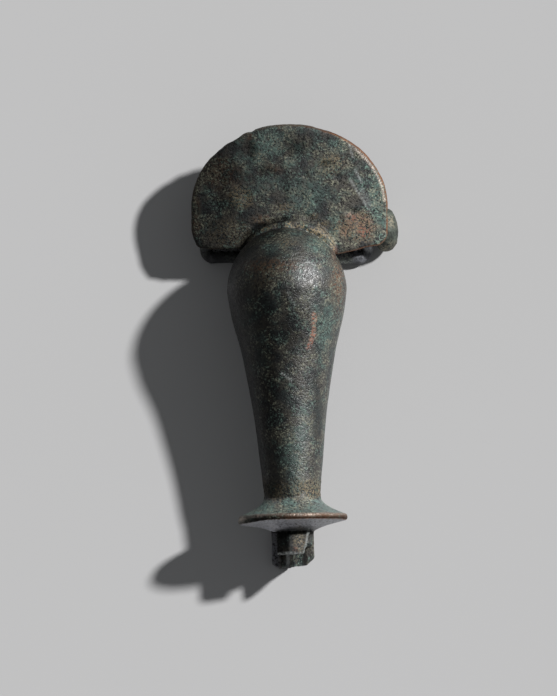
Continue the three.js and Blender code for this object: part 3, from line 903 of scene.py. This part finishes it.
def paint_casting(mesh, points, region):
    """Masks for the casting's colours and for its painted light, shade, highlights and reflections, by
    place and by noise.
    """
    broad = fractal_noise(points, 3.0, 81)
    middle = fractal_noise(points, 1.0, 91)
    fine = fractal_noise(points, 0.4, 95, 2)
    x, rim = points[:, 0], region.rim
    flare_teal = 0.8 * region.flare * smoothstep(-0.6, 0.2, middle)
    teal = 0.7 * smoothstep(0.0, 0.5, broad + 0.6 * middle + 0.35 * fine)
    teal = teal * (1 - 0.7 * region.bow) * (1 - region.foot)
    teal = any_of(teal, patches(points, TEAL_PATCHES, 1), flare_teal)
    ring_grain = 0.8 * region.ring * smoothstep(-0.4, 0.3, middle + fine)
    neck = band(region.along + 0.6 * middle + 0.3 * fine, *NECK_COLOUR)
    ochre = any_of(patches(points, OCHRE_PATCHES, 2), ring_grain, neck * np.interp(x, *NECK_OCHRE))
    wide_edge = region.edge + 0.05 * middle
    edge_line = (1 - smoothstep(0.07, 0.15, wide_edge)) * (region.height > 0.45)
    edge_line = edge_line * np.interp(x, *EDGE_COPPER)
    # Painted highlight along the bevel of the plate's right edge.
    bevel_highlight = band(wide_edge, (0.16, 0.2), (0.26, 0.36)) * region.plate
    bevel_highlight = bevel_highlight * (points[:, 1] > 4.2) * smoothstep(5.2, 6.6, x)
    disc_x = x / DISC_RADIUS
    # Painted highlight line along the rim's edge, and painted highlight on the rim's front half.
    rim_highlight_line = (np.abs(region.along - RIM_START - 0.03) < 0.09) * (region.radius > DISC_RADIUS - 0.2)
    rim_highlight_line = rim_highlight_line * np.interp(disc_x, *RIM_HIGHLIGHT_LINE)
    rim_highlight = rim * (1 - region.rim_back) * np.interp(disc_x, *RIM_HIGHLIGHT)
    masks = {
        "tone": painted_light_shade_and_tone(points, vertex_rows(mesh.vertex_normals, "vector"), region),
        "teal": teal,
        "ochre": ochre * (1 - 0.6 * rim),
        "red": any_of(patches(points, RED_PATCHES, 3), streaks(points, RED_STREAKS, 3)),
        "brown": patches(points, BROWN_PATCHES, 4, 0.6),
        "copper": any_of(edge_line, rim * np.interp(disc_x, *RIM_COPPER)),
        "painted_highlight": any_of(bevel_highlight, rim_highlight_line, rim_highlight),
        "polish": any_of(region.bow * (1 - neck), region.flare, region.back),
        "scratch_and_highlight": any_of(streaks(points, SCRATCHES_AND_HIGHLIGHTS, 6), 0.6 * tongue_lip_reflection(region)),
        "violet": violet_patina_and_reflection(region),
        "crusted": any_of(region.plate, region.ring, neck, region.foot, 0.4 * region.flare),
    }
    for name, values in masks.items():
        attribute(mesh, name, values)


def make_body():
    plate_parts = (add_plate, add_collar, add_collar_ring)
    shells = Shells(*plate_parts, add_bow, add_stem, add_tongue, add_catch, add_lug)
    body = fused("brooch_casting", shells.mesh("casting"), BODY_VOXEL, BODY_SMOOTHING)
    mesh = body.data
    points = vertex_rows(mesh.vertices, "co")
    region = casting_regions(points)
    paint_casting(mesh, points, region)
    set_points(mesh, laid_down(weathered(points, vertex_rows(mesh.vertex_normals, "vector"), region)))
    return body


def rest_frame():
    """The turn and the move that lay the brooch on its coils and the end of its catch."""
    turn = Matrix.Rotation(resting_turn(), 4, "X")
    outermost = Shells(add_plate, add_bow, add_catch)
    whole = moved(np.concatenate(outermost.points), turn)
    low, high = (np.array(corner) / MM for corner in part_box("brooch_body"))
    middle = (low + high) / 2 - (whole.min(0) + whole.max(0)) / 2
    axis = turn @ Vector((0, AXIS_FROM_EDGE, -AXIS_DEPTH))
    rise = COIL_OUTER - REST_FLAT - axis.z
    return Matrix.Translation((middle[0], middle[1], rise)) @ turn


def laid_down(points):
    """Points in metres where the brooch lies, with flats where it touches the table."""
    laid = moved(points, rest_frame())
    laid[:, 2] = np.maximum(laid[:, 2], 0.0)
    return laid * MM


def wire_half(side, stub):
    """Route of the wire on one side: stub, coil, and the loop that leads to the chord."""
    stub_y = -stub * math.cos(STUB_RISE)
    stub_z = stub * math.sin(STUB_RISE) - COIL_RADIUS
    points = [(side * COIL_INNER_END, stub_y, stub_z)]
    for turns in np.linspace(0, COIL_TURNS, COIL_STEPS + 1):
        angle = 2 * math.pi * turns - math.pi / 2
        x = side * (COIL_INNER_END + turns * TURN_PITCH)
        points.append((x, COIL_RADIUS * math.cos(angle), COIL_RADIUS * math.sin(angle)))
    chord_radius = COIL_OUTER + CHORD_GAP + WIRE_DIAMETER / 2
    chord_y = -chord_radius * math.cos(CHORD_DROP)
    chord_z = -chord_radius * math.sin(CHORD_DROP)
    swing = chord_y + COIL_RADIUS
    for inwards, way, below in LOOP_SHARES:
        x = side * (COIL_OUTER_END - inwards * TURN_PITCH)
        points.append((x, way * swing - COIL_RADIUS, chord_z - below * WIRE_DIAMETER))
    return points


def add_spring(shells):
    """The wire as one tube from stub to stub, slightly uneven in thickness."""
    route = catmull_rom(wire_half(-1, PIN_STUB) + wire_half(1, END_STUB)[::-1], steps=4)
    route = evenly_spaced(route, WIRE_SPACING, closed=False)
    along = unit(np.gradient(route, axis=0))
    round_x, round_y = circle(sides=20).T
    swelling = 1 + SWELLING * fractal_noise(route, SWELLING_SIZE, 17, 2)
    across = np.array([1.0, 0.0, 0.0])
    loops = []
    for place, ahead, size in zip(route, along, swelling):
        across = across - ahead * (across @ ahead)
        across /= np.linalg.norm(across)
        up = np.cross(ahead, across)
        ring = round_x[:, None] * across + round_y[:, None] * up
        loops.append(place + ring * size * WIRE_DIAMETER / 2 + AXIS_PLACE)
    shells.add(loops)


def add_axis_bar(shells):
    """The rod through the coils and its turned knob."""
    start = SPRING_HALF_WIDTH + CLEARANCE
    profile = [(-SPRING_HALF_WIDTH - ROD_OVERHANG, ROD_RADIUS), (start, ROD_RADIUS)]
    profile += [(start + way * KNOB_LENGTH, share * KNOB_RADIUS) for way, share in KNOB_SHARES]
    loops = []
    for x, radius in profile:
        ring = np.column_stack([np.full(ROUND_SIDES, x), radius * circle(ROUND_SIDES)])
        loops.append(ring + AXIS_PLACE)
    shells.add(loops)


def make_corroded(name, add_part, lumps, seed):
    """The spring or the bar as one fine, corroded skin, with masks for its colours and its painted light
    and shade.
    """
    form = Shells(add_part).mesh(name + "_form")
    piece = fused(name, form, SPRING_VOXEL, SPRING_SMOOTHING)
    mesh = piece.data
    points = vertex_rows(mesh.vertices, "co")
    grain = WIRE_GRAIN * fractal_noise(points, GRAIN_SIZE, seed + 7, 2)
    height = lumps * fractal_noise(points, LUMP_SIZE, seed) + grain
    height -= WIRE_PIT * pits(points, WIRE_PIT_SIZE, seed + 11, share=0.4)
    patch = smoothstep(-0.2, 0.5, fractal_noise(points, 1.3, seed + 21))
    attribute(mesh, "patch", patch)
    attribute(mesh, "tone", np.interp(points[:, 0], *SPRING_LIGHT_AND_SHADE))
    set_points(mesh, laid_down(points + vertex_rows(mesh.vertex_normals, "vector") * height[:, None]))
    return piece


# Materials

# How far a shift of one moves the noise, in metres.
NOISE_STEP = (0.03, 0.05, 0.07)


def srgb(red, green, blue):
    """A linear colour from the 0 to 255 values that the eye knows."""
    def linear(value):
        value /= 255
        return value / 12.92 if value <= 0.04045 else ((value + 0.055) / 1.055) ** 2.4

    return (linear(red), linear(green), linear(blue), 1.0)


class Shader:
    """Builds a material node by node."""

    def __init__(self, name):
        self.material = bpy.data.materials.new(name)
        self.material.use_nodes = True
        self.tree = self.material.node_tree
        self.inputs = self.tree.nodes["Principled BSDF"].inputs
        self.colour = None
        self.place = self.tree.nodes.new("ShaderNodeTexCoord").outputs["Object"]

    def node(self, kind, *inputs, **settings):
        """A new node with its settings, and with its first inputs connected or set."""
        node = self.tree.nodes.new(kind)
        for key, value in settings.items():
            setattr(node, key, value)
        for value, socket in zip(inputs, node.inputs):
            self.connect(value, socket)
        return node

    def connect(self, value, socket):
        if isinstance(value, bpy.types.NodeSocket):
            self.tree.links.new(value, socket)
        else:
            socket.default_value = value

    def attribute(self, name):
        return self.node("ShaderNodeAttribute", attribute_name=name).outputs["Fac"]

    def noise(self, size, shift=0, detail=2.0, roughness=0.7):
        """Noise from 0 to 1 with features of about size millimetres; a shift gives another one."""
        step = [shift * part for part in NOISE_STEP]
        place = self.node("ShaderNodeVectorMath", self.place, step, operation="ADD").outputs[0]
        node = self.node("ShaderNodeTexNoise", place)
        self.connect(1 / (size * MM), node.inputs["Scale"])
        self.connect(detail, node.inputs["Detail"])
        self.connect(roughness, node.inputs["Roughness"])
        return node.outputs["Fac"]

    def scaled(self, colour, amount):
        node = self.node("ShaderNodeVectorMath", colour, operation="SCALE")
        self.connect(amount, node.inputs["Scale"])
        return node.outputs[0]

    def math(self, operation, a, b):
        return self.node("ShaderNodeMath", a, b, operation=operation).outputs[0]

    def both(self, a, b):
        return self.math("MULTIPLY", a, b)

    def ramp(self, value, low, high, out_low=0.0, out_high=1.0):
        """A smooth change from one value to another between two limits."""
        limits = (value, low, high, out_low, out_high)
        return self.node("ShaderNodeMapRange", *limits, interpolation_type="SMOOTHSTEP").outputs[0]

    def between(self, mask, low, high):
        """From one value to another as a mask goes from 0 to 1."""
        return self.ramp(mask, 0.0, 1.0, low, high)

    def mix(self, factor, a, b):
        node = self.node("ShaderNodeMix", data_type="RGBA")
        self.connect(factor, node.inputs[0])
        self.connect(a, node.inputs[6])
        self.connect(b, node.inputs[7])
        return node.outputs[2]

    def coat(self, mask, colour):
        """Lays a colour over the one so far, where the mask lets it."""
        self.colour = self.mix(mask, self.colour, colour)

    def bump(self, height, strength, depth):
        """A bump of that depth in millimetres."""
        node = self.node("ShaderNodeBump")
        self.connect(strength, node.inputs["Strength"])
        self.connect(depth * MM, node.inputs["Distance"])
        self.connect(height, node.inputs["Height"])
        self.connect(node.outputs["Normal"], self.inputs["Normal"])


def patina_material():
    """Dark green-brown patina with green speckle, crusts, cuprite and bare copper, with painted light,
    shade, highlights and reflections.
    """
    s = Shader("patinated_bronze")
    broad = s.noise(1.3, detail=4.0, roughness=0.6)
    fine = s.noise(0.32, shift=1, detail=3.0, roughness=0.65)
    speck = s.noise(0.17, shift=2)
    grain = s.noise(0.17, shift=3)
    grit = s.noise(0.2, shift=4)
    clumps = s.ramp(s.noise(1.5, shift=5, detail=3.0, roughness=0.6), 0.42, 0.56, 0.12, 1.0)
    glints = s.ramp(s.noise(0.2, shift=7), 0.54, 0.64)
    crusted, polish, tone = (s.attribute(name) for name in ("crusted", "polish", "tone"))

    s.colour = s.mix(s.ramp(broad, 0.38, 0.62), srgb(36, 37, 39), srgb(64, 61, 56))
    s.coat(s.both(s.attribute("brown"), s.ramp(fine, 0.38, 0.56)), srgb(100, 68, 46))
    teal_grain = s.both(s.attribute("teal"), s.ramp(fine, 0.36, 0.6, 0.25, 1.0))
    s.coat(teal_grain, srgb(68, 89, 83))
    speckle = s.both(s.ramp(speck, 0.5, 0.64), s.both(clumps, s.between(crusted, 0.7, 0.95)))
    pale = s.mix(s.ramp(broad, 0.42, 0.56), srgb(98, 120, 110), srgb(126, 127, 110))
    s.coat(speckle, pale)
    # Grey-violet patina, with a painted reflection of the floor.
    s.coat(s.both(s.attribute("violet"), 0.85), srgb(92, 92, 97))
    ochre_grain = s.both(s.attribute("ochre"), s.ramp(grain, 0.45, 0.56))
    s.coat(ochre_grain, srgb(132, 118, 92))
    red_grain = s.both(s.attribute("red"), s.ramp(grit, 0.42, 0.54))
    s.coat(red_grain, srgb(114, 76, 62))
    pit = s.both(s.ramp(grit, 0.48, 0.38), s.between(crusted, 0.85, 0.95))
    s.coat(pit, srgb(14, 14, 14))
    copper = s.both(s.attribute("copper"), s.ramp(fine, 0.3, 0.5, 0.35, 1.0))
    s.coat(copper, srgb(106, 74, 54))
    # Glints, scratches and painted highlights come after the painted light and shade of the tone, so they
    # stay lighter in the dark.
    s.colour = s.scaled(s.colour, tone)
    glints = s.both(s.both(glints, s.between(crusted, 0.9, 0.5)), clumps)
    glints = s.both(glints, s.ramp(s.attribute("violet"), 0.0, 0.3, 1.0, 0.0))
    s.coat(glints, s.scaled(pale, s.math("POWER", tone, 0.5)))
    # Scratches with painted highlight lines, and the painted reflection on the tongue's edge.
    scratch_and_highlight = s.both(s.attribute("scratch_and_highlight"), s.ramp(speck, 0.4, 0.55, 0.3, 1.0))
    s.coat(scratch_and_highlight, srgb(168, 172, 170))
    # Painted highlights along the plate's bevel and the disc's rim.
    painted_highlight = s.both(s.attribute("painted_highlight"), s.ramp(grain, 0.36, 0.55, 0.2, 1.0))
    s.coat(painted_highlight, srgb(206, 192, 180))
    s.connect(s.colour, s.inputs["Base Color"])

    metal = s.between(s.math("ADD", copper, painted_highlight), 0.0, 0.75)
    s.connect(metal, s.inputs["Metallic"])
    rough = s.math("ADD", s.ramp(fine, 0.3, 0.7, -0.08, 0.1), s.between(polish, 0.58, 0.38))
    s.connect(rough, s.inputs["Roughness"])
    gleam = s.both(s.between(polish, 0.5, 0.8), s.ramp(tone, 0.1, 0.9, 0.15, 1.0))
    s.connect(gleam, s.inputs["Specular IOR Level"])
    grit_height = s.math("ADD", s.both(speck, 0.7), s.ramp(grit, 0.36, 0.5, 0.0, 0.35))
    height = s.math("ADD", s.both(fine, 1.5), grit_height)
    s.bump(height, s.between(crusted, 0.75, 1.0), 0.05)
    return s.material


def corrosion_material(name, dark, light, crust):
    """Dull corrosion for the spring and the rod."""
    s = Shader(name)
    fine = s.noise(0.2, detail=3.0, roughness=0.65)
    broad = s.noise(0.9, detail=4.0, roughness=0.6)
    grit = s.noise(0.17, shift=6)
    s.colour = s.mix(s.ramp(broad, 0.35, 0.65), dark, light)
    s.coat(s.both(s.attribute("patch"), s.ramp(grit, 0.44, 0.56)), crust)
    s.coat(s.ramp(grit, 0.46, 0.38, 0.0, 0.7), srgb(14, 14, 14))
    # The tone gives the spring and the rod their painted light and shade.
    s.colour = s.scaled(s.colour, s.attribute("tone"))
    s.connect(s.colour, s.inputs["Base Color"])
    s.connect(s.ramp(fine, 0.2, 0.8, 0.5, 0.8), s.inputs["Roughness"])
    s.inputs["Metallic"].default_value = 0.1
    s.bump(s.math("ADD", fine, grit), 0.8, 0.04)
    return s.material


def floor_material():
    s = Shader("pale_floor")
    tone = s.noise(60, roughness=0.5)
    s.connect(s.mix(tone, srgb(190, 190, 190), srgb(194, 194, 195)), s.inputs["Base Color"])
    s.connect(s.between(tone, 0.85, 0.9), s.inputs["Roughness"])
    s.inputs["Specular IOR Level"].default_value = 0.1
    return s.material


# The set


def add_camera():
    """Long lens straight above the brooch as it was held: its scale and framing are the photo's."""
    rest = rest_frame()
    middle_x = (PHOTO_WIDTH / 2 - PLATE_MIDDLE_PX) / PIXELS_PER_MM
    middle_y = (PLATE_EDGE_PX - PHOTO_HEIGHT / 2) / PIXELS_PER_MM
    place = rest @ Vector((middle_x, middle_y, KNEE_HEIGHT + CAMERA_DISTANCE)) * MM
    camera = bpy.data.cameras.new("camera")
    camera.sensor_width = SENSOR
    camera.lens = SENSOR * CAMERA_DISTANCE * PIXELS_PER_MM / PHOTO_HEIGHT
    holder = placed("camera", camera)
    holder.matrix_world = Matrix.Translation(place) @ rest.to_3x3().to_4x4()
    scene.camera = holder


def add_lights():
    """A small hard lamp from the upper right and a weak pale room."""
    turn = Matrix.Rotation(resting_turn(), 4, "X")
    towards = turn.to_3x3() @ Vector(SUN_DIRECTION)
    lamp = bpy.data.lights.new("key", "SUN")
    lamp.energy = 4.1
    lamp.angle = SUN_WIDTH
    lamp.color = (1.0, 0.995, 0.99)
    key = placed("key", lamp)
    key.rotation_mode = "QUATERNION"
    key.rotation_quaternion = towards.to_track_quat("Z", "Y")
    world = bpy.data.worlds.new("room")
    world.use_nodes = True
    background = world.node_tree.nodes["Background"]
    background.inputs["Color"].default_value = (0.96, 0.98, 1.0, 1.0)
    background.inputs["Strength"].default_value = 0.15
    scene.world = world
    scene.view_settings.view_transform = "Standard"


def add_floor():
    mesh = bpy.data.meshes.new("floor")
    half = FLOOR_HALF_WIDTH
    corners = [(-half, -half, 0), (half, -half, 0), (half, half, 0), (-half, half, 0)]
    mesh.from_pydata(corners, [], [(0, 1, 2, 3)])
    floor = placed("floor", mesh)
    mesh.materials.append(floor_material())


def dress(piece, material, node):
    """Gives a piece its material, hangs it under the root body and hides the solid that it stands for."""
    piece.data.materials.clear()
    piece.data.materials.append(material)
    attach(piece, "root")
    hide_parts(node)


add_camera()
dress(make_body(), patina_material(), "brooch_body")
dress(
    make_corroded("corroded_spring", add_spring, lumps=0.04, seed=301),
    corrosion_material("spring_corrosion", srgb(38, 39, 42), srgb(66, 67, 70), srgb(84, 88, 82)),
    "spring",
)
dress(
    make_corroded("corroded_axis_bar", add_axis_bar, lumps=0.14, seed=401),
    corrosion_material("rod_corrosion", srgb(44, 48, 44), srgb(78, 84, 76), srgb(132, 124, 106)),
    "axis_bar",
)
add_lights()
add_floor()
